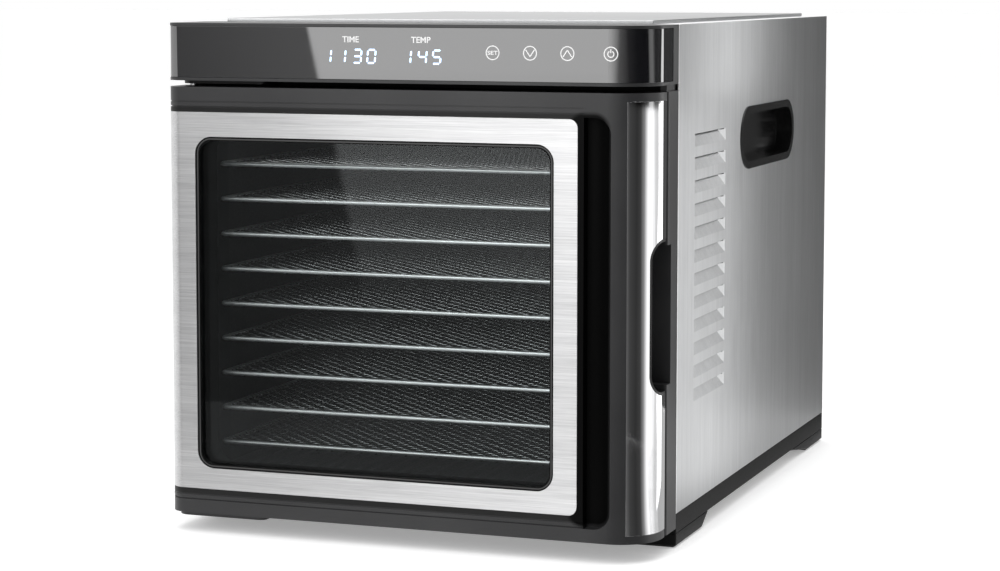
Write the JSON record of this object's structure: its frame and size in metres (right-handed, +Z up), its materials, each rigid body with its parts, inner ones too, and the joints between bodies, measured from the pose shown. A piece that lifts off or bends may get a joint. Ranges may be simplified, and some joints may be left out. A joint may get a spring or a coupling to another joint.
{
  "type": "food dehydrator",
  "caption": "Cabinet food dehydrator: brushed steel body, side-hinged glass door with a chrome grip strip, slide-in wire trays, a touch control panel, and a fan and heater at the rear.",
  "frame": {"origin": "middle of the footprint, on the floor plane under the feet", "axes": "+Z up, the door faces -Y, +X is the side with the finger recess and the right-hand louvres"},
  "size_m": [0.3584, 0.514, 0.3626],
  "materials": {
    "steel_panel": "vertical brushed grain",
    "door_steel": "horizontal brushed grain",
    "black_plastic": "fine satin",
    "pocket_plastic": "satin",
    "base_plastic": "satin",
    "pad_rubber": "matte",
    "bracket_steel": "black paint",
    "bright_steel": "turned",
    "fascia_glass": "smoked, polished",
    "display": "lit numerals behind glass",
    "circuit_board": "solder mask",
    "cable_red": "insulated wire",
    "chamber_black": "black paint",
    "motor_grey": "satin",
    "fan_aluminium": "plain",
    "heater_sheath": "heat-tinted sheath",
    "ceramic": null,
    "cutout_black": "moulded",
    "tray_wire": "bright wire",
    "door_glass": "clear, polished",
    "gasket": "silicone",
    "chrome_strip": "polished",
    "bush_nylon": "natural nylon",
    "ferrite": "ferrite"
  },
  "bodies": {
    "cabinet": {"base_pan": "base_plastic", "feet": "base_plastic", "foot_pads": "pad_rubber", "side_panel_left": "steel_panel", "side_panel_right": "steel_panel", "top_cover": "steel_panel", "rear_cover": "steel_panel", "front_bezel": "black_plastic", "hinge_bracket_lower": "bracket_steel", "hinge_bracket_upper": "bracket_steel", "hinge_pins": "bright_steel", "strike_plates": "bright_steel", "control_housing": "black_plastic", "control_glass": "fascia_glass", "display_module": "display", "touch_board": "circuit_board", "power_board": "circuit_board", "wiring_loom": "cable_red", "liner_left": "chamber_black", "liner_right": "chamber_black", "liner_top": "chamber_black", "liner_bottom": "chamber_black", "liner_back": "chamber_black", "rails_left": "chamber_black", "rails_right": "chamber_black", "fan_baffle": "chamber_black", "fan_motor": "motor_grey", "motor_bracket": "bracket_steel", "heater_ring": "heater_sheath", "heater_supports": "ceramic", "temperature_sensor": "bright_steel", "thermal_cutout": "cutout_black", "power_inlet": "cutout_black", "rear_screws": "bright_steel", "hand_pocket_left": "pocket_plastic", "hand_pocket_right": "pocket_plastic"},
    "door": {"door_frame": "black_plastic", "door_plate": "door_steel", "door_glass": "door_glass", "door_inner_panel": "black_plastic", "window_surround": "black_plastic", "door_gasket": "gasket", "handle_strip": "chrome_strip", "finger_recess": "black_plastic", "hinge_bushes": "bush_nylon", "door_magnets": "ferrite", "door_screws": "bright_steel"},
    "tray_1": {"tray_1": "tray_wire"},
    "tray_2": {"tray_2": "tray_wire"},
    "tray_3": {"tray_3": "tray_wire"},
    "tray_4": {"tray_4": "tray_wire"},
    "tray_5": {"tray_5": "tray_wire"},
    "tray_6": {"tray_6": "tray_wire"},
    "tray_7": {"tray_7": "tray_wire"},
    "tray_8": {"tray_8": "tray_wire"},
    "tray_9": {"tray_9": "tray_wire"},
    "drip_tray": {"drip_tray": "chamber_black"},
    "fan": {"fan_impeller": "fan_aluminium", "fan_shaft": "bright_steel"}
  },
  "joints": [
    {"name": "door_hinge", "type": "hinge", "parent": "cabinet", "child": "door", "pos_m": [-0.17, -0.2275, 0.1645], "axis": [0, 0, -1], "range_deg": [0, 105]},
    {"name": "tray_1_slide", "type": "slide", "parent": "cabinet", "child": "tray_1", "axis": [0, -1, 0], "range_m": [0, 0.004]},
    {"name": "tray_2_slide", "type": "slide", "parent": "cabinet", "child": "tray_2", "axis": [0, -1, 0], "range_m": [0, 0.004]},
    {"name": "tray_3_slide", "type": "slide", "parent": "cabinet", "child": "tray_3", "axis": [0, -1, 0], "range_m": [0, 0.004]},
    {"name": "tray_4_slide", "type": "slide", "parent": "cabinet", "child": "tray_4", "axis": [0, -1, 0], "range_m": [0, 0.004]},
    {"name": "tray_5_slide", "type": "slide", "parent": "cabinet", "child": "tray_5", "axis": [0, -1, 0], "range_m": [0, 0.004]},
    {"name": "tray_6_slide", "type": "slide", "parent": "cabinet", "child": "tray_6", "axis": [0, -1, 0], "range_m": [0, 0.004]},
    {"name": "tray_7_slide", "type": "slide", "parent": "cabinet", "child": "tray_7", "axis": [0, -1, 0], "range_m": [0, 0.004]},
    {"name": "tray_8_slide", "type": "slide", "parent": "cabinet", "child": "tray_8", "axis": [0, -1, 0], "range_m": [0, 0.004]},
    {"name": "tray_9_slide", "type": "slide", "parent": "cabinet", "child": "tray_9", "axis": [0, -1, 0], "range_m": [0, 0.004]},
    {"name": "drip_tray_slide", "type": "slide", "parent": "cabinet", "child": "drip_tray", "axis": [0, -1, 0], "range_m": [0, 0.004]},
    {"name": "fan_spin", "type": "hinge", "parent": "cabinet", "child": "fan", "pos_m": [0, 0.16, 0.162], "axis": [0, 1, 0], "continuous": true}
  ]
}
